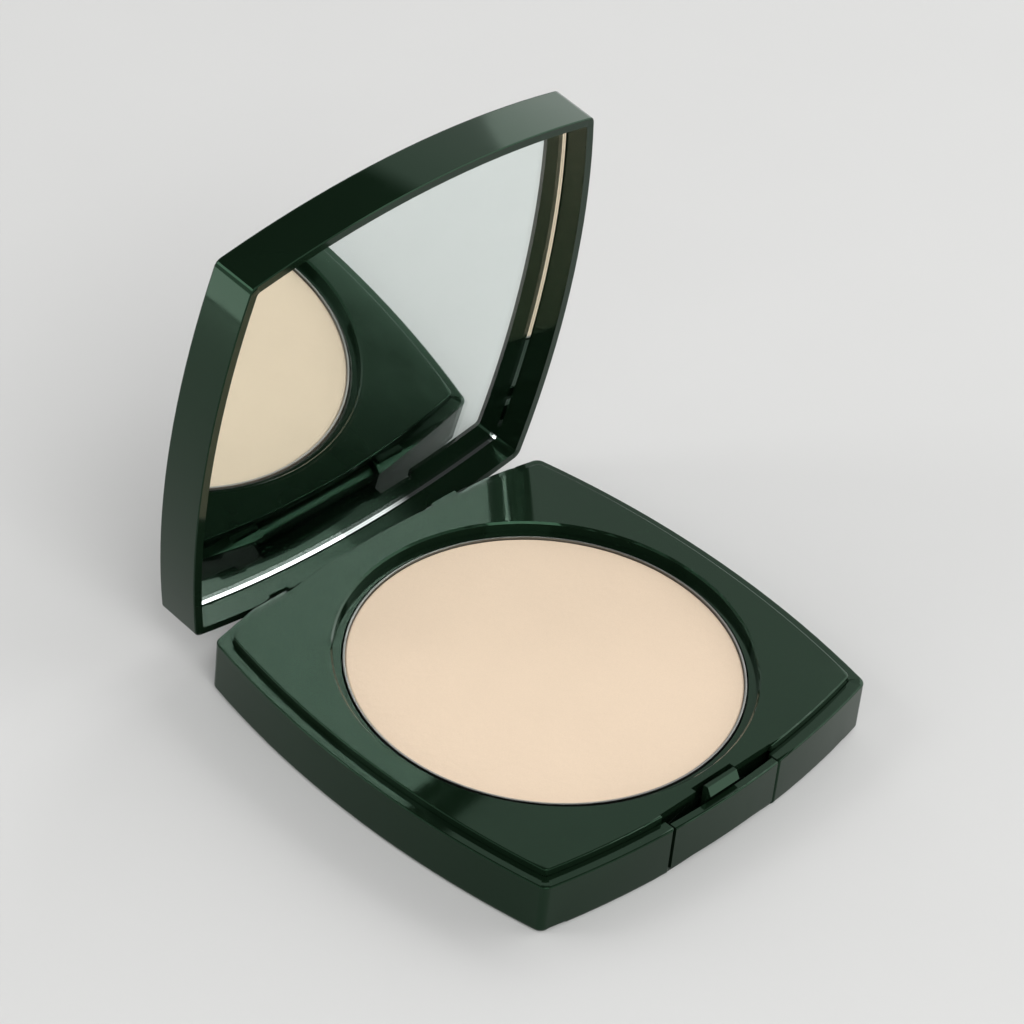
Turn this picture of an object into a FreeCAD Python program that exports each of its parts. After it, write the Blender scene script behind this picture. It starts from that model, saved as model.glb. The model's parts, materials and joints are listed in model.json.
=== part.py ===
import FreeCAD, Part
import math
import os

# Square powder compact, lid open.  Millimetres, +Z up, +Y towards the hinge, the button at -Y.
# The origin is the middle of the underside.  Everything is drawn with the lid closed, and the
# pieces of the lid are then turned about the hinge axis to the open rest position.

# --- outline, shared by base and lid ---
HALF_WIDTH = 37.8         # centre to the middle of a bowed side
BOW = 3.78                # how far each side bulges over its chord
CORNER_R = 1.6

# --- base ---
RIM_Z = 8.8               # top of the outer wall
PLATE_Z = 10.0            # top of the raised inner plate
WALL = 1.6
INNER_CORNER_R = 0.6
FLOOR = 1.2
LAND_INSET = 2.05         # the wall is thicker along its top, as a land around the plate
LAND_THICK = 1.2
PLATE_INSET = 2.15        # outer wall face to the plate's edge
PLATE_CORNER_R = 1.0
PLATE_THICK = 1.2
SKIRT_Z = 6.0             # lower edge of the plate's skirt
SKIRT_THICK = 1.2
SUNK = 0.5                # how far pieces under the plate run up into it
FOOT_R = 2.0              # feet of the tray
FOOT_AT = 26.0            # from the middle of the well
BOTTOM_EDGE_R = 0.8
RIM_EDGE_R = 0.25
PLATE_EDGE_R = 0.22

# --- well, pan and powder ---
WELL_Y = -0.8             # the well sits slightly towards the button
WELL_R = 31.45
LEDGE_R = 30.15           # pocket that takes the pan
LEDGE_Z = 8.4
WELL_LIP = 0.3
WELL_FLOOR_Z = 3.2
WELL_FLOOR_THICK = 1.0
WELL_WALL = 1.0
PAN_R = 29.85
PAN_WALL = 0.3
PAN_TOP_Z = 8.6
PAN_BOTTOM_R = 0.6
PAN_GLUE = 0.2
PAN_GLUE_R = 20.0
POWDER_GAP = 0.02
POWDER_Z = 8.35
POWDER_EDGE = 0.25

# --- push button ---
TRAVEL = 0.9
OPENING_HALF = 11.1       # opening in the front wall
BUTTON_HALF = 10.8
BUTTON_BOTTOM_Z = 0.95
BUTTON_WALL = 1.25
SLOT_HALF = 11.65         # cut-out in the plate's front edge
SLOT_Y = -34.7
NOTCH_HALF = 4.1          # deeper notch behind the catch tongue
NOTCH_ROOM = 0.4          # left behind the tongue when the button is pressed
POCKET_HALF = 13.0        # room under the plate for the button's body
POCKET_Y = -33.6
BACKING = 1.0             # wall of the tray behind the pocket
BACKING_Z = 2.2
FLOOR_SETBACK = 0.85      # the floor stands back under the button
FLOOR_AT_BUTTON = 0.85    # and is thinner there
FLOOR_AT_BUTTON_Y = -34.9
SEAM_R = 0.6              # rounded wall ends beside the button
RIB_HALF = 9.6
RIB_Z = (1.6, 5.4)
RIB_BACK_Y = -35.0
ARM = 1.6                 # arms that carry the lugs
LUG_HALF = 12.3           # lugs that hold the button behind the front wall
LUG_JOIN = 0.5
LUG_Y = (-35.5, -34.65)
LUG_Z = (1.8, 5.0)
TONGUE_HALF = 3.05
TONGUE_FRONT_Y = -35.95
TONGUE_BACK_Y = -35.1
TONGUE_TOP_Z = 11.0
TONGUE_EDGE = 0.2
HOOK_TIP_Y = -36.7
HOOK_TIP_Z = 9.7
HOOK_DROP = 0.1           # the hook's underside slopes down to the tongue
SPRING_THICK = 0.2
SPRING_HALF = 8.5
SPRING_Z = (2.4, 4.6)
SPRING_FIT = 0.02

# --- hinge ---
HINGE_Y = 34.9
HINGE_Z = 5.75
OPEN_ANGLE = 84.0
BARREL_R = 1.9
BARREL_HALF = 12.0
END_GAP = 0.2
RECESS_FLOOR_Z = 3.0
RECESS_FRONT_Y = 32.7
BLOCK_HALF = 18.0
BLOCK_FRONT_Y = 31.75
BLOCK_GAP = 0.05          # block to the plate above it
NUB_X = (12.7, 17.7)
NUB_Y = (35.3, 36.2)
NUB_Z = 9.35
PIN_R = 0.75
PIN_RUNNING_GAP = 0.04
PIN_X = (7.5, 17.2)
PIN_EDGE = 0.15
# section of the web from the barrel up to the lid's back wall, from the hinge axis
WEB = ((1.5, 4.6), (2.3, 4.6), (2.3, 1.2), (1.7, 0.0), (0.2, 0.0), (1.35, 1.2))

# --- lid ---
LID_GAP = 0.15            # parting line between the closed lid and the rim
LID_TOP_Z = 16.6
LID_WALL = 1.5
LID_INNER_CORNER_R = 0.7
LID_TOP_EDGE_R = 0.35
LID_RIM_EDGE = 0.15
HINGE_NOTCH_HALF = 18.4   # the lid's back wall stands clear of the knuckles
HINGE_NOTCH_Z = 9.9
MIRROR_Z = 12.9           # front of the glass, lid closed
GLASS = 0.9
GLASS_INSET = 1.75
TAPE = 0.2
TAPE_INSET = 4.0
TAPE_CORNER_R = 2.0
CATCH_HALF = 3.6          # pocket in the lid's front wall that takes the hook
CATCH_Z = (9.5, 11.3)
CATCH_DEPTH = 0.85

# --- label ---
LABEL_R = 22.0
LABEL = 0.12
LABEL_GAP = 0.1

NOTCH_Y = TONGUE_BACK_Y + TRAVEL + NOTCH_ROOM
LID_RIM_Z = RIM_Z + LID_GAP
FAR = 60.0                # past every side of the object
SIDE_R = ((HALF_WIDTH - BOW) ** 2 + BOW ** 2) / (2 * BOW)
SIDE_CENTRE = SIDE_R - HALF_WIDTH
UP = FreeCAD.Vector(0, 0, 1)


def bow_y(x, inset=0.0):
    """Distance of a bowed side from the middle of the object, at a place along the side."""
    return math.sqrt((SIDE_R - inset) ** 2 - x ** 2) - SIDE_CENTRE


def outline(inset, corner_r, z):
    """Closed wire of four bowed sides and four rounded corners, parallel to the outer wall."""
    side_r = SIDE_R - inset
    reach = side_r - corner_r
    c = (math.sqrt(2 * reach ** 2 - SIDE_CENTRE ** 2) - SIDE_CENTRE) / 2
    tx = side_r * c / reach
    ty = side_r * (c + SIDE_CENTRE) / reach - SIDE_CENTRE
    d = c + corner_r / math.sqrt(2)
    middle = side_r - SIDE_CENTRE
    edges = []
    for quarter in range(4):
        turn = FreeCAD.Rotation(UP, -90 * quarter)
        side = [(-tx, ty), (0, middle), (tx, ty)]
        corner = [(tx, ty), (d, d), (ty, tx)]
        for points in (side, corner):
            placed = [turn.multVec(FreeCAD.Vector(x, y, 0)) + UP * z for x, y in points]
            edges.append(Part.Arc(*placed).toShape())
    return Part.Wire(edges)


def bowed(inset, corner_r, z0, z1):
    return Part.Face(outline(inset, corner_r, z0)).extrude(UP * (z1 - z0))


def box(x, y, z):
    corner = FreeCAD.Vector(x[0], y[0], z[0])
    return Part.makeBox(x[1] - x[0], y[1] - y[0], z[1] - z[0], corner)


def disc(radius, z0, z1, y=WELL_Y):
    return Part.makeCylinder(radius, z1 - z0, FreeCAD.Vector(0, y, z0))


def along_x(radius, x0, x1):
    """Cylinder on the hinge axis."""
    start = FreeCAD.Vector(x0, HINGE_Y, HINGE_Z)
    return Part.makeCylinder(radius, x1 - x0, start, FreeCAD.Vector(1, 0, 0))


def prism_x(points, x0, x1):
    """Prism with a section in Y and Z, from x0 to x1."""
    corners = [FreeCAD.Vector(x0, y, z) for y, z in points]
    face = Part.Face(Part.makePolygon(corners + corners[:1]))
    return face.extrude(FreeCAD.Vector(x1 - x0, 0, 0))


def edges_at(shape, z):
    """Edges that lie in the level plane at this height."""
    found = []
    for edge in shape.Edges:
        bounds = edge.BoundBox
        if abs(bounds.ZMin - z) < 1e-4 and abs(bounds.ZMax - z) < 1e-4:
            found.append(edge)
    return found


def opened(shape):
    """Turns a piece of the lid from closed to its open rest position."""
    turned = shape.copy()
    hinge = FreeCAD.Vector(0, HINGE_Y, HINGE_Z)
    turned.rotate(hinge, FreeCAD.Vector(1, 0, 0), -OPEN_ANGLE)
    return turned


def base_shell():
    body = bowed(0, CORNER_R, 0, RIM_Z)
    body = body.makeFillet(BOTTOM_EDGE_R, edges_at(body, 0))
    body = body.makeFillet(RIM_EDGE_R, edges_at(body, RIM_Z))
    body = body.cut(bowed(WALL, INNER_CORNER_R, FLOOR, RIM_Z - LAND_THICK))
    body = body.cut(bowed(LAND_INSET, INNER_CORNER_R, RIM_Z - LAND_THICK, FAR))
    block = box((-BLOCK_HALF, BLOCK_HALF), (BLOCK_FRONT_Y, FAR), (FLOOR, RIM_Z - BLOCK_GAP))
    body = body.fuse(block.common(bowed(WALL / 2, CORNER_R, 0, FAR)))
    for side in (-1, 1):
        nub_x = sorted(side * x for x in NUB_X)
        body = body.fuse(box(nub_x, NUB_Y, (RIM_Z - 1, NUB_Z)))
    # the back edge is rounded about the hinge axis, so that the lid's rim swings past it
    relief = box((-FAR, FAR), (HINGE_Y, FAR), (HINGE_Z, RIM_Z + 0.001))
    relief = relief.cut(along_x(RIM_Z - HINGE_Z, -FAR, FAR))
    for side in (-1, 1):
        nub_x = sorted(side * x for x in NUB_X)
        relief = relief.cut(box(nub_x, NUB_Y, (0, FAR)))
    body = body.cut(relief)
    reach = BARREL_HALF + END_GAP
    body = body.cut(box((-reach, reach), (RECESS_FRONT_Y, FAR), (RECESS_FLOOR_Z, FAR)))
    bore = PIN_R + PIN_RUNNING_GAP
    body = body.cut(along_x(bore, -BLOCK_HALF - 1, BLOCK_HALF + 1))
    body = body.cut(button_opening())
    body = body.cut(disc(LABEL_R, -1, LABEL, 0))
    return body.removeSplitter()


def button_opening():
    """Opening in the front wall, with the wall's ends rounded and the floor set back under it."""
    cut = box((-OPENING_HALF, OPENING_HALF), (-FAR, FLOOR_AT_BUTTON_Y), (FLOOR_AT_BUTTON, FAR))
    front = -HALF_WIDTH + FLOOR_SETBACK
    cut = cut.fuse(box((-OPENING_HALF, OPENING_HALF), (-FAR, front), (-1, FLOOR)))
    for side in (-1, 1):
        x = side * OPENING_HALF
        face_y = -bow_y(OPENING_HALF)
        square = box(sorted((x, x + side * SEAM_R)), (face_y - 1, face_y + SEAM_R), (-1, FAR))
        centre = FreeCAD.Vector(x + side * SEAM_R, face_y + SEAM_R, -2)
        cut = cut.fuse(square.cut(Part.makeCylinder(SEAM_R, FAR + 2, centre)))
    return cut


def inner_tray():
    plate = bowed(PLATE_INSET, PLATE_CORNER_R, PLATE_Z - PLATE_THICK, PLATE_Z)
    plate = plate.makeFillet(PLATE_EDGE_R, edges_at(plate, PLATE_Z))
    skirt = bowed(PLATE_INSET, PLATE_CORNER_R, SKIRT_Z, PLATE_Z - PLATE_THICK)
    skirt = skirt.cut(bowed(PLATE_INSET + SKIRT_THICK, PLATE_CORNER_R, SKIRT_Z - 1, PLATE_Z))
    reach = BLOCK_HALF + END_GAP
    skirt = skirt.cut(box((-reach, reach), (0, FAR), (0, FAR)))
    tray = plate.fuse(skirt)
    cup_bottom = WELL_FLOOR_Z - WELL_FLOOR_THICK
    tray = tray.fuse(disc(WELL_R + WELL_WALL, cup_bottom, PLATE_Z - SUNK))
    # slot and notch for the button, with a wall behind them
    pocket = box((-POCKET_HALF, POCKET_HALF), (-FAR, POCKET_Y), (0, PLATE_Z - PLATE_THICK))
    slot = box((-SLOT_HALF, SLOT_HALF), (-FAR, SLOT_Y), (0, FAR))
    notch = box((-NOTCH_HALF, NOTCH_HALF), (-FAR, NOTCH_Y), (0, FAR))
    tray = tray.cut(pocket).cut(slot).cut(notch)
    backing_y = (POCKET_Y, POCKET_Y + BACKING)
    tray = tray.fuse(box((-POCKET_HALF, POCKET_HALF), backing_y, (BACKING_Z, PLATE_Z - SUNK)))
    tray = tray.cut(disc(WELL_R, LEDGE_Z, FAR)).cut(disc(LEDGE_R, WELL_FLOOR_Z, FAR))
    lip_foot = FreeCAD.Vector(0, WELL_Y, PLATE_Z - WELL_LIP)
    tray = tray.cut(Part.makeCone(WELL_R, WELL_R + WELL_LIP, WELL_LIP, lip_foot))
    # four feet stand on the floor of the base
    for quarter in range(4):
        angle = math.radians(45 + 90 * quarter)
        foot = FreeCAD.Vector(math.cos(angle), math.sin(angle), 0) * FOOT_AT
        foot += FreeCAD.Vector(0, WELL_Y, FLOOR)
        tray = tray.fuse(Part.makeCylinder(FOOT_R, cup_bottom - FLOOR, foot))
    return tray.removeSplitter()


def powder_pan():
    bottom = WELL_FLOOR_Z + PAN_GLUE
    pan = disc(PAN_R, bottom, PAN_TOP_Z)
    pan = pan.makeFillet(PAN_BOTTOM_R, edges_at(pan, bottom))
    pan = pan.cut(disc(PAN_R - PAN_WALL, bottom + PAN_WALL, FAR))
    return pan


def pressed_powder():
    powder = disc(PAN_R - PAN_WALL - POWDER_GAP, WELL_FLOOR_Z + PAN_GLUE + PAN_WALL, POWDER_Z)
    return powder.makeChamfer(POWDER_EDGE, edges_at(powder, POWDER_Z))


def pan_adhesive():
    return disc(PAN_GLUE_R, WELL_FLOOR_Z, WELL_FLOOR_Z + PAN_GLUE)


def latch_button():
    """Front panel that carries on the bowed wall, its guide rib and lugs, and the catch tongue."""
    panel = bowed(0, CORNER_R, BUTTON_BOTTOM_Z, RIM_Z)
    panel = panel.makeFillet(RIM_EDGE_R, edges_at(panel, RIM_Z))
    panel = panel.makeFillet(RIM_EDGE_R, edges_at(panel, BUTTON_BOTTOM_Z))
    panel = panel.cut(bowed(BUTTON_WALL, CORNER_R, 0, FAR))
    panel = panel.common(box((-BUTTON_HALF, BUTTON_HALF), (-FAR, 0), (0, FAR)))
    inside = -HALF_WIDTH + BUTTON_WALL / 2
    rib = box((-RIB_HALF, RIB_HALF), (inside, RIB_BACK_Y), RIB_Z)
    rib = rib.common(bowed(BUTTON_WALL / 2, CORNER_R, 0, FAR))
    button = panel.fuse(rib)
    for side in (-1, 1):
        lug_x = sorted((side * (RIB_HALF - LUG_JOIN), side * LUG_HALF))
        arm_x = sorted((side * (RIB_HALF - ARM), side * RIB_HALF))
        button = button.fuse(box(lug_x, LUG_Y, LUG_Z))
        button = button.fuse(box(arm_x, (inside, LUG_Y[1]), LUG_Z))
    tongue = [
        (TONGUE_BACK_Y, RIB_Z[0]),
        (TONGUE_BACK_Y, TONGUE_TOP_Z - TONGUE_EDGE),
        (TONGUE_BACK_Y - TONGUE_EDGE, TONGUE_TOP_Z),
        (TONGUE_FRONT_Y, TONGUE_TOP_Z),
        (HOOK_TIP_Y, HOOK_TIP_Z),
        (TONGUE_FRONT_Y, HOOK_TIP_Z - HOOK_DROP),
        (TONGUE_FRONT_Y, RIB_Z[0]),
    ]
    button = button.fuse(prism_x(tongue, -TONGUE_HALF, TONGUE_HALF))
    return button.removeSplitter()


def button_spring():
    """Leaf spring: a shallow arch with its ends on the tray and its crown on the button's rib."""
    crown = RIB_BACK_Y + SPRING_FIT
    ends = POCKET_Y - SPRING_FIT
    outer = Part.Arc(
        FreeCAD.Vector(-SPRING_HALF, ends - SPRING_THICK, 0),
        FreeCAD.Vector(0, crown, 0),
        FreeCAD.Vector(SPRING_HALF, ends - SPRING_THICK, 0),
    ).toShape()
    inner = Part.Arc(
        FreeCAD.Vector(-SPRING_HALF, ends, 0),
        FreeCAD.Vector(0, crown + SPRING_THICK, 0),
        FreeCAD.Vector(SPRING_HALF, ends, 0),
    ).toShape()
    tips = []
    for x in (-SPRING_HALF, SPRING_HALF):
        tip = (FreeCAD.Vector(x, ends - SPRING_THICK, 0), FreeCAD.Vector(x, ends, 0))
        tips.append(Part.makeLine(*tip))
    strip = Part.Face(Part.Wire(Part.__sortEdges__([outer, inner] + tips)))
    strip.translate(UP * SPRING_Z[0])
    return strip.extrude(UP * (SPRING_Z[1] - SPRING_Z[0]))


def hinge_pin(side):
    x0, x1 = sorted(side * x for x in PIN_X)
    pin = along_x(PIN_R, x0, x1)
    rims = [edge for edge in pin.Edges if len(edge.Vertexes) == 1]
    return opened(pin.makeChamfer(PIN_EDGE, rims))


def lid_shell():
    lid = bowed(0, CORNER_R, LID_RIM_Z, LID_TOP_Z)
    lid = lid.makeFillet(LID_TOP_EDGE_R, edges_at(lid, LID_TOP_Z))
    lid = lid.makeChamfer(LID_RIM_EDGE, edges_at(lid, LID_RIM_Z))
    seat = MIRROR_Z + GLASS + TAPE
    lid = lid.cut(bowed(LID_WALL, LID_INNER_CORNER_R, 0, seat))
    reach = HINGE_NOTCH_HALF
    lid = lid.cut(box((-reach, reach), (0, FAR), (0, HINGE_NOTCH_Z)))
    catch_front = -HALF_WIDTH + LID_WALL - CATCH_DEPTH
    lid = lid.cut(box((-CATCH_HALF, CATCH_HALF), (catch_front, 0), CATCH_Z))
    web = [(HINGE_Y + y, HINGE_Z + z) for y, z in WEB]
    lid = lid.fuse(prism_x(web, -BARREL_HALF, BARREL_HALF))
    lid = lid.fuse(along_x(BARREL_R, -BARREL_HALF, BARREL_HALF))
    for side in (-1, 1):
        x0, x1 = sorted((side * PIN_X[0], side * FAR))
        lid = lid.cut(along_x(PIN_R, x0, x1))
    return opened(lid.removeSplitter())


def mirror_glass():
    return opened(bowed(GLASS_INSET, LID_INNER_CORNER_R, MIRROR_Z, MIRROR_Z + GLASS))


def mirror_adhesive():
    back = MIRROR_Z + GLASS
    return opened(bowed(TAPE_INSET, TAPE_CORNER_R, back, back + TAPE))


def base_label():
    return disc(LABEL_R - LABEL_GAP, 0, LABEL, 0)


PIECES = {
    "base_shell": base_shell,
    "inner_tray": inner_tray,
    "powder_pan": powder_pan,
    "pressed_powder": pressed_powder,
    "pan_adhesive": pan_adhesive,
    "latch_button": latch_button,
    "button_spring": button_spring,
    "hinge_pin_left": lambda: hinge_pin(-1),
    "hinge_pin_right": lambda: hinge_pin(1),
    "lid_shell": lid_shell,
    "mirror_glass": mirror_glass,
    "mirror_adhesive": mirror_adhesive,
    "base_label": base_label,
}

os.makedirs("parts", exist_ok=True)
for name, make in PIECES.items():
    piece = make()
    print(name, len(piece.Solids), "solid(s)", round(piece.Volume, 1), "mm3", piece.isValid())
    piece.exportStep("parts/" + name + ".step")
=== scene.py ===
import json
import math

import bmesh
import bpy
from mathutils import Matrix, Vector, noise


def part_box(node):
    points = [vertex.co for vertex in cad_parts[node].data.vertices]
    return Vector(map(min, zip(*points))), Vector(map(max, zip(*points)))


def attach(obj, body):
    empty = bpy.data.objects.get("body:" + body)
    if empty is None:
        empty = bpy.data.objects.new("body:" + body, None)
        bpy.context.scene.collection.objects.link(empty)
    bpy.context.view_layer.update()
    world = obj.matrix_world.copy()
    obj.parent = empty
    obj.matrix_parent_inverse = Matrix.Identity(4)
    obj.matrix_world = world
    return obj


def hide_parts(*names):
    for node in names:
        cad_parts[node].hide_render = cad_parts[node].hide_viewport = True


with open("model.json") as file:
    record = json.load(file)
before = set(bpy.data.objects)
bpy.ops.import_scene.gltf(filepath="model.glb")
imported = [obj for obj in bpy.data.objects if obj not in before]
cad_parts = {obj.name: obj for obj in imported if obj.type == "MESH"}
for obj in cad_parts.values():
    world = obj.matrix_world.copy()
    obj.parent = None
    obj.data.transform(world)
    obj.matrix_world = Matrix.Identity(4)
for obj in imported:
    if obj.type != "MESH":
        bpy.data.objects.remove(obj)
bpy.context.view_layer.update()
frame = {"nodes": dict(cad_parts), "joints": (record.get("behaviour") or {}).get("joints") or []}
NODES = frame["nodes"]

MM = 0.001

# --- camera: stands off the left front corner, with a long lens ---
CAMERA_AZIMUTH = -49.456
CAMERA_ELEVATION = 38.965
CAMERA_ROLL = 6.489
CAMERA_LENS = 157.60
CAMERA_BACK = 665.32 * MM          # from the middle of the base, along the view
CAMERA_RIGHT = -3.588 * MM
CAMERA_UP = 28.858 * MM
SENSOR_WIDTH = 36
CLIP_START, CLIP_END = 0.05, 20

# --- mirror: the sheet of silvering inside the glass ---
LID_ANGLE = 84.0                   # open, as the pieces rest
SHEET_DEPTH = 0.03 * MM            # below the back of the glass
SHEET_THICK = 0.03 * MM
SHEET_INSET = 0.03 * MM
BACK_DEPTH = 0.1 * MM              # points this near the back of the glass make its outline
ANGLE_DIGITS = 5                   # points closer together in angle than this count as one

# --- edges of the mouldings, broken by modifiers ---
PLASTIC_EDGE = 0.05 * MM
PAN_EDGE = 0.08 * MM
EDGE_SEGMENTS = 2
EDGE_ANGLE = math.radians(38)      # anything sharper counts as an edge
WELD_GAP = 1e-6
FACE_WEIGHT = 100                  # large faces keep their flat shading

# --- powder cake ---
CAKE_RINGS, CAKE_SPOKES = 150, 720
CAKE_CROWDING = 1.6                # the rings crowd towards the edge
CAKE_EDGE_R = 0.35 * MM
CAKE_SINK = 0.03 * MM              # mean depth below the solid's top
CAKE_WAVES = ((900, 0.012), (2600, 0.006), (60, 0.02))   # noise scale, height in mm

# --- studio ---
FLOOR_SIZE = 8
SKY, ZENITH = 1.18, 0.04           # grey levels of the bright sky and the dark area overhead
SKY_TOP, ZENITH_FROM = 0.693, 0.722    # sine of the elevation where each ends or begins

# --- colours, linear ---
CASE_GREEN = (0.0042, 0.0105, 0.0052)
POWDER = (0.80, 0.635, 0.475)
SILVER = (0.93, 0.985, 0.97)
PAN_METAL = (0.26, 0.26, 0.245)
SPRING_STEEL = (0.55, 0.55, 0.56)
PIN_STEEL = (0.6, 0.6, 0.61)
TAPE = (0.8, 0.8, 0.78)
GLUE = (0.75, 0.7, 0.55)
LABEL_FILM = (0.72, 0.73, 0.71)
GLASS, GLASS_BRIGHT = (0.975, 0.99, 0.982), (0.985, 0.997, 0.99)
FLOOR = (0.66, 0.66, 0.652)
PLASTIC_TINT = (0.45, 1.0, 0.62, 1)    # of what the plastic reflects


# ---------------------------------------------------------------- node helpers

def new_material(name):
    """A material with an empty Principled tree: returns (material, nodes, links, principled)."""
    mat = bpy.data.materials.new(name)
    mat.use_nodes = True
    tree = mat.node_tree
    return mat, tree.nodes, tree.links, tree.nodes["Principled BSDF"]


def object_coords(nodes):
    """Coordinates that stay with the piece as it moves."""
    return nodes.new("ShaderNodeTexCoord").outputs["Object"]


def noise_value(nodes, links, coords, scale, detail, rough=0.5):
    """A noise texture's value, about 0.5 on average."""
    tex = nodes.new("ShaderNodeTexNoise")
    tex.inputs["Scale"].default_value = scale
    tex.inputs["Detail"].default_value = detail
    tex.inputs["Roughness"].default_value = rough
    links.new(coords, tex.inputs["Vector"])
    return tex.outputs["Fac"]


def ranged(nodes, links, value, low, high, from_low, from_high):
    """Maps a value from one range to another."""
    node = nodes.new("ShaderNodeMapRange")
    node.inputs["From Min"].default_value = from_low
    node.inputs["From Max"].default_value = from_high
    node.inputs["To Min"].default_value = low
    node.inputs["To Max"].default_value = high
    links.new(value, node.inputs["Value"])
    return node.outputs["Result"]


def two_colours(nodes, links, value, first, second):
    """Blends two colours over the middle of a value's range."""
    ramp = nodes.new("ShaderNodeValToRGB")
    ramp.color_ramp.elements[0].position = 0.3
    ramp.color_ramp.elements[1].position = 0.7
    ramp.color_ramp.elements[0].color = (*first, 1)
    ramp.color_ramp.elements[1].color = (*second, 1)
    links.new(value, ramp.inputs["Fac"])
    return ramp.outputs["Color"]


def bumped(nodes, links, principled, height, distance, strength=1.0):
    """Raises a surface by a texture's value, up to a distance in metres."""
    bump = nodes.new("ShaderNodeBump")
    bump.inputs["Distance"].default_value = distance
    bump.inputs["Strength"].default_value = strength
    links.new(height, bump.inputs["Height"])
    links.new(bump.outputs["Normal"], principled.inputs["Normal"])


def scaled(colour, k):
    """A colour made darker or lighter by one factor."""
    return tuple(c * k for c in colour)


# ------------------------------------------------------------------- materials

def polished_plastic(name, colour, roughness):
    """Moulded gloss plastic: faint colour drift, handling haze and a very slight waviness."""
    mat, nodes, links, p = new_material(name)
    coords = object_coords(nodes)
    drift = noise_value(nodes, links, coords, scale=45, detail=3)
    tone = two_colours(nodes, links, drift, scaled(colour, 0.9), scaled(colour, 1.12))
    links.new(tone, p.inputs["Base Color"])
    haze = noise_value(nodes, links, coords, scale=160, detail=6, rough=0.62)
    gloss = ranged(nodes, links, haze, low=roughness * 0.75, high=roughness * 1.5,
                   from_low=0.35, from_high=0.7)
    links.new(gloss, p.inputs["Roughness"])
    wave = noise_value(nodes, links, coords, scale=60, detail=1)
    bumped(nodes, links, p, wave, distance=0.02 * MM)
    p.inputs["IOR"].default_value = 1.33
    p.inputs["Specular Tint"].default_value = PLASTIC_TINT
    return mat


def pressed_powder_material():
    """Fine milled powder: matte, with grain at two scales and a faint unevenness of tone."""
    mat, nodes, links, p = new_material("pressed_powder")
    coords = object_coords(nodes)
    tone = noise_value(nodes, links, coords, scale=70, detail=5, rough=0.6)
    grain = noise_value(nodes, links, coords, scale=5200, detail=2, rough=0.7)
    base = two_colours(nodes, links, tone, scaled(POWDER, 0.975), scaled(POWDER, 1.02))
    speck = two_colours(nodes, links, grain, scaled(POWDER, 0.93), scaled(POWDER, 1.05))
    mix = nodes.new("ShaderNodeMix")
    mix.data_type = "RGBA"
    mix.inputs["Factor"].default_value = 0.4
    links.new(base, mix.inputs["A"])
    links.new(speck, mix.inputs["B"])
    links.new(mix.outputs["Result"], p.inputs["Base Color"])
    p.inputs["Roughness"].default_value = 0.95
    p.inputs["Specular IOR Level"].default_value = 0.2
    p.inputs["Sheen Weight"].default_value = 0.08
    p.inputs["Sheen Roughness"].default_value = 0.6
    fine = noise_value(nodes, links, coords, scale=3000, detail=4, rough=0.75)
    bumped(nodes, links, p, fine, distance=0.03 * MM, strength=0.6)
    return mat


def metal(name, colour, roughness):
    """Bright metal with a fine grain in its roughness and bump."""
    mat, nodes, links, p = new_material(name)
    coords = object_coords(nodes)
    grain = noise_value(nodes, links, coords, scale=900, detail=5, rough=0.7)
    tone = two_colours(nodes, links, grain, scaled(colour, 0.94), colour)
    links.new(tone, p.inputs["Base Color"])
    gloss = ranged(nodes, links, grain, low=roughness * 0.8, high=roughness * 1.3,
                   from_low=0.3, from_high=0.7)
    links.new(gloss, p.inputs["Roughness"])
    bumped(nodes, links, p, grain, distance=0.004 * MM)
    p.inputs["Metallic"].default_value = 1.0
    return mat


def mirror_silver():
    """The silvering: an even mirror with the slightest haze from handling."""
    mat, nodes, links, p = new_material("mirror_silver")
    coords = object_coords(nodes)
    haze = noise_value(nodes, links, coords, scale=120, detail=6, rough=0.65)
    tone = two_colours(nodes, links, haze, scaled(SILVER, 0.985), SILVER)
    links.new(tone, p.inputs["Base Color"])
    gloss = ranged(nodes, links, haze, low=0.0, high=0.012, from_low=0.4, from_high=0.75)
    links.new(gloss, p.inputs["Roughness"])
    p.inputs["Metallic"].default_value = 1.0
    return mat


def float_glass():
    """Clear glass with a little green in it, and faint smears of tone."""
    mat, nodes, links, p = new_material("float_glass")
    coords = object_coords(nodes)
    smear = noise_value(nodes, links, coords, scale=90, detail=5, rough=0.6)
    links.new(two_colours(nodes, links, smear, GLASS, GLASS_BRIGHT), p.inputs["Base Color"])
    p.inputs["Roughness"].default_value = 0.0
    p.inputs["Transmission Weight"].default_value = 1.0
    p.inputs["IOR"].default_value = 1.5
    return mat


def soft_film(name, colour, roughness):
    """Matte sheet goods: label film, tape and glue, with a fine uneven surface."""
    mat, nodes, links, p = new_material(name)
    coords = object_coords(nodes)
    mottle = noise_value(nodes, links, coords, scale=600, detail=5, rough=0.6)
    tone = two_colours(nodes, links, mottle, scaled(colour, 0.93), colour)
    links.new(tone, p.inputs["Base Color"])
    p.inputs["Roughness"].default_value = roughness
    bumped(nodes, links, p, mottle, distance=0.01 * MM)
    return mat


def floor_material():
    """A plain pale table top, matte."""
    mat, nodes, links, p = new_material("studio_floor")
    coords = object_coords(nodes)
    grain = noise_value(nodes, links, coords, scale=40, detail=3)
    tone = two_colours(nodes, links, grain, scaled(FLOOR, 0.992), FLOOR)
    links.new(tone, p.inputs["Base Color"])
    p.inputs["Roughness"].default_value = 0.9
    p.inputs["Specular IOR Level"].default_value = 0.1
    return mat


def dress(node, material):
    """Gives a CAD node its material, in every slot."""
    for slot in NODES[node].material_slots:
        slot.link = "OBJECT"
        slot.material = material


# ------------------------------------------------------------------ geometry

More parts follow.
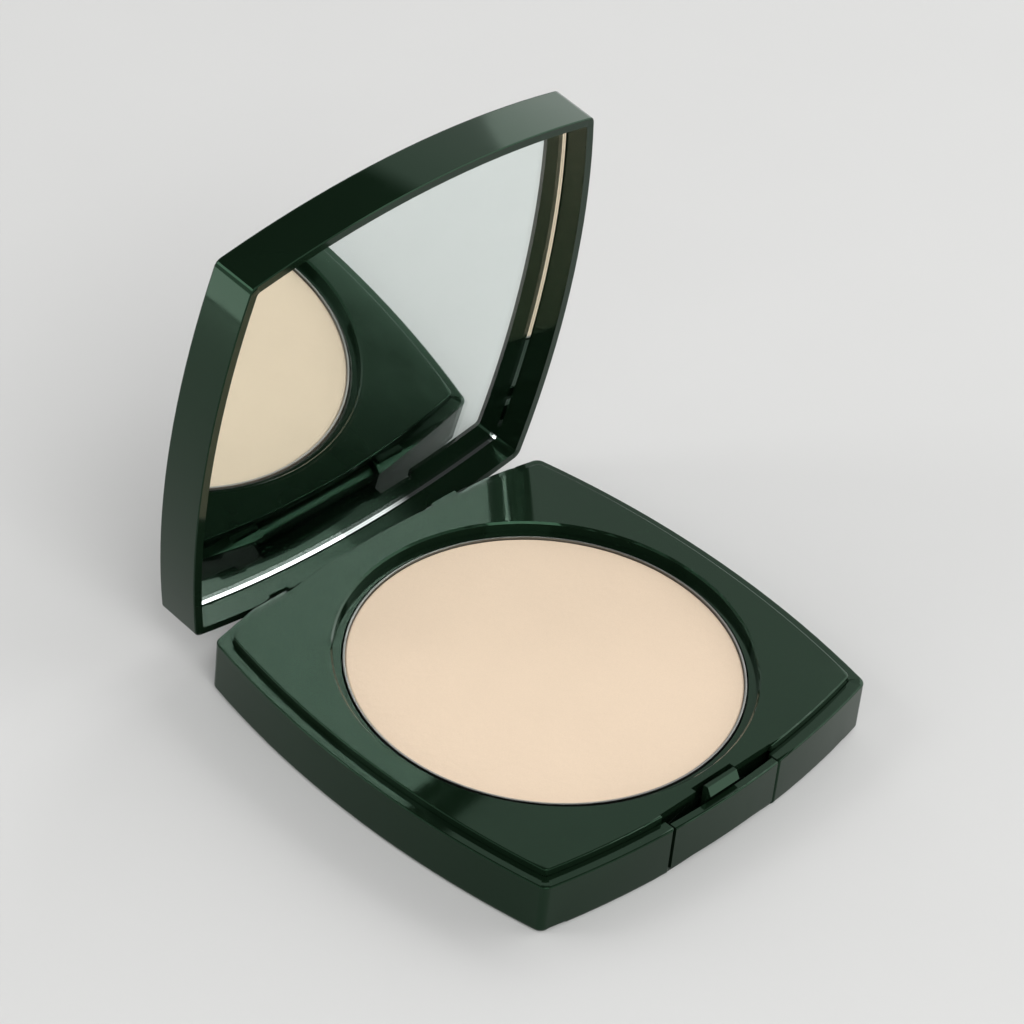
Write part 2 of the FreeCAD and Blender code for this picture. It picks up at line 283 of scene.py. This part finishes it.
def soften(node, width):
    """Breaks a CAD node's sharp edges, as a moulding's are, with modifiers only."""
    obj = NODES[node]
    weld = obj.modifiers.new("weld", "WELD")
    weld.merge_threshold = WELD_GAP
    bevel = obj.modifiers.new("edge", "BEVEL")
    bevel.width = width
    bevel.segments = EDGE_SEGMENTS
    bevel.limit_method = "ANGLE"
    bevel.angle_limit = EDGE_ANGLE
    normals = obj.modifiers.new("normals", "WEIGHTED_NORMAL")
    normals.weight = FACE_WEIGHT


def add_object(name, mesh, material, smooth=True):
    """Puts a new mesh in the scene, with its material."""
    obj = bpy.data.objects.new(name, mesh)
    bpy.context.scene.collection.objects.link(obj)
    mesh.materials.append(material)
    if smooth:
        mesh.shade_smooth()
    return obj


def powder_cake(material):
    """The cake of powder: nearly flat, softly rounded at its edge, with fine real unevenness."""
    low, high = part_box("pressed_powder")
    centre = (low + high) / 2
    radius = (high.x - low.x) / 2
    bm = bmesh.new()
    top = []
    for i in range(1, CAKE_RINGS + 1):
        r = radius * (1 - (1 - i / CAKE_RINGS) ** CAKE_CROWDING)
        over = max(0.0, r - radius + CAKE_EDGE_R)      # how far the ring is into the soft edge
        drop = CAKE_EDGE_R - math.sqrt(max(0.0, CAKE_EDGE_R ** 2 - over ** 2))
        ring = []
        for k in range(CAKE_SPOKES):
            a = 2 * math.pi * k / CAKE_SPOKES
            place = Vector((centre.x + r * math.cos(a), centre.y + r * math.sin(a), 0))
            waves = sum(height * noise.noise(place * scale) for scale, height in CAKE_WAVES)
            z = high.z - drop + waves * MM - CAKE_SINK
            ring.append(bm.verts.new((place.x, place.y, z)))
        top.append(ring)
    hub = bm.verts.new((centre.x, centre.y, high.z - CAKE_SINK))
    foot = [bm.verts.new((v.co.x, v.co.y, low.z)) for v in top[-1]]
    for k in range(CAKE_SPOKES):
        n = (k + 1) % CAKE_SPOKES
        bm.faces.new((hub, top[0][k], top[0][n]))
        for inner, outer in zip(top, top[1:]):
            bm.faces.new((inner[k], outer[k], outer[n], inner[n]))
        bm.faces.new((top[-1][k], foot[k], foot[n], top[-1][n]))
    bm.faces.new(reversed(foot))
    bm.normal_update()
    mesh = bpy.data.meshes.new("powder_cake")
    bm.to_mesh(mesh)
    bm.free()
    return add_object("powder_cake", mesh, material)


def silver_sheet(material):
    """The mirror's silvering: a thin flat sheet just inside the back of the glass.

    The outline is read off the glass with the lid turned closed, then turned open again.
    """
    hinge = next(j for j in frame["joints"] if j["name"] == "lid_hinge")
    pivot = Vector(hinge["pos_m"])
    closing = Matrix.Rotation(math.radians(LID_ANGLE), 4, "X")
    closed = Matrix.Translation(pivot) @ closing @ Matrix.Translation(-pivot)
    points = [closed @ v.co for v in NODES["mirror_glass"].data.vertices]
    back = max(v.z for v in points)
    ring = {}
    for v in points:
        if v.z > back - BACK_DEPTH:
            ring[round(math.atan2(v.y, v.x), ANGLE_DIGITS)] = v
    outline = [ring[key] * (1 - SHEET_INSET / ring[key].length) for key in sorted(ring)]
    opened = closed.inverted()
    bm = bmesh.new()
    sides = []
    for depth in (SHEET_DEPTH + SHEET_THICK, SHEET_DEPTH):
        z = back - depth
        rim = [bm.verts.new(opened @ Vector((v.x, v.y, z))) for v in outline]
        sides.append((bm.verts.new(opened @ Vector((0, 0, z))), rim))
    (front_hub, front), (back_hub, rear) = sides
    for k in range(len(outline)):
        n = (k + 1) % len(outline)
        bm.faces.new((front_hub, front[n], front[k]))
        bm.faces.new((back_hub, rear[k], rear[n]))
        bm.faces.new((front[k], front[n], rear[n], rear[k]))
    mesh = bpy.data.meshes.new("mirror_silvering")
    bm.to_mesh(mesh)
    bm.free()
    return add_object("mirror_silvering", mesh, material, smooth=False)


# --------------------------------------------------------------------- studio

def area_light(name, place, aim, size, power):
    """A rectangular lamp, in metres and watts, that the camera doesn't see."""
    light = bpy.data.lights.new(name, "AREA")
    light.shape = "RECTANGLE"
    light.size, light.size_y = size
    light.energy = power
    obj = bpy.data.objects.new(name, light)
    obj.location = place
    obj.rotation_euler = (Vector(aim) - Vector(place)).to_track_quat("-Z", "Y").to_euler()
    obj.visible_camera = False
    bpy.context.scene.collection.objects.link(obj)


def sky():
    """An even bright surround that turns dark overhead."""
    world = bpy.data.worlds.new("studio")
    bpy.context.scene.world = world
    world.use_nodes = True
    nodes, links = world.node_tree.nodes, world.node_tree.links
    up = nodes.new("ShaderNodeSeparateXYZ")
    links.new(nodes.new("ShaderNodeTexCoord").outputs["Generated"], up.inputs["Vector"])
    ramp = nodes.new("ShaderNodeValToRGB")
    low, high = ramp.color_ramp.elements
    low.position, low.color = SKY_TOP, (SKY, SKY, SKY, 1)
    high.position, high.color = ZENITH_FROM, (ZENITH, ZENITH, ZENITH, 1)
    links.new(up.outputs["Z"], ramp.inputs["Fac"])
    links.new(ramp.outputs["Color"], nodes["Background"].inputs["Color"])
    nodes["Background"].inputs["Strength"].default_value = 1.0


def studio():
    """A pale table with four soft lamps: a window high at the back left, a small card low
    behind the left corner, a long softbox at the right, and a key above the left front."""
    bpy.ops.mesh.primitive_plane_add(size=FLOOR_SIZE, location=(0, 0, 0))
    floor = bpy.context.object
    floor.name = "floor"
    floor.data.materials.append(floor_material())
    sky()
    area_light("window", place=(-0.68, 0.54, 0.66), aim=(0, 0, 0.04),
               size=(0.22, 0.35), power=1.0)
    area_light("card", place=(-0.181, 0.149, 0.03), aim=(-0.036, 0.043, 0.05),
               size=(0.10, 0.058), power=0.06)
    area_light("softbox", place=(1.05, -0.50, 0.61), aim=(0.05, -0.50, 0.61),
               size=(2.30, 1.205), power=15.5)
    area_light("key", place=(-0.35, -0.72, 0.95), aim=(0, 0, 0.03),
               size=(0.6, 0.6), power=5.7)


def camera():
    """A long lens that looks down on the open compact from its left front, rolled a little."""
    a, e, roll = (math.radians(v) for v in (CAMERA_AZIMUTH, CAMERA_ELEVATION, CAMERA_ROLL))
    back = Vector((math.sin(a) * math.cos(e), -math.cos(a) * math.cos(e), math.sin(e)))
    level = Vector((math.cos(a), math.sin(a), 0))
    rise = back.cross(level)
    right = math.cos(roll) * level + math.sin(roll) * rise
    up = -math.sin(roll) * level + math.cos(roll) * rise
    data = bpy.data.cameras.new("camera")
    data.lens = CAMERA_LENS
    data.sensor_width = SENSOR_WIDTH
    data.clip_start = CLIP_START
    data.clip_end = CLIP_END
    obj = bpy.data.objects.new("camera", data)
    place = right * CAMERA_RIGHT + up * CAMERA_UP + back * CAMERA_BACK
    turn = Matrix((right, up, back)).transposed().to_4x4()
    obj.matrix_world = Matrix.Translation(place) @ turn
    bpy.context.scene.collection.objects.link(obj)
    bpy.context.scene.camera = obj


def main():
    bpy.context.scene.view_settings.view_transform = "Standard"
    case = polished_plastic("case_plastic", CASE_GREEN, roughness=0.06)
    for node in ("base_shell", "lid_shell", "inner_tray", "latch_button"):
        dress(node, case)
        soften(node, PLASTIC_EDGE)
    dress("powder_pan", metal("pan_metal", PAN_METAL, roughness=0.38))
    soften("powder_pan", PAN_EDGE)
    dress("button_spring", metal("spring_steel", SPRING_STEEL, roughness=0.3))
    pin = metal("pin_steel", PIN_STEEL, roughness=0.25)
    dress("hinge_pin_left", pin)
    dress("hinge_pin_right", pin)
    dress("mirror_glass", float_glass())
    dress("mirror_adhesive", soft_film("tape", TAPE, roughness=0.55))
    dress("pan_adhesive", soft_film("glue", GLUE, roughness=0.35))
    dress("base_label", soft_film("label_film", LABEL_FILM, roughness=0.45))
    cake = powder_cake(pressed_powder_material())
    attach(cake, "base")
    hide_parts("pressed_powder")
    silver = silver_sheet(mirror_silver())
    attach(silver, "lid")
    studio()
    camera()


main()
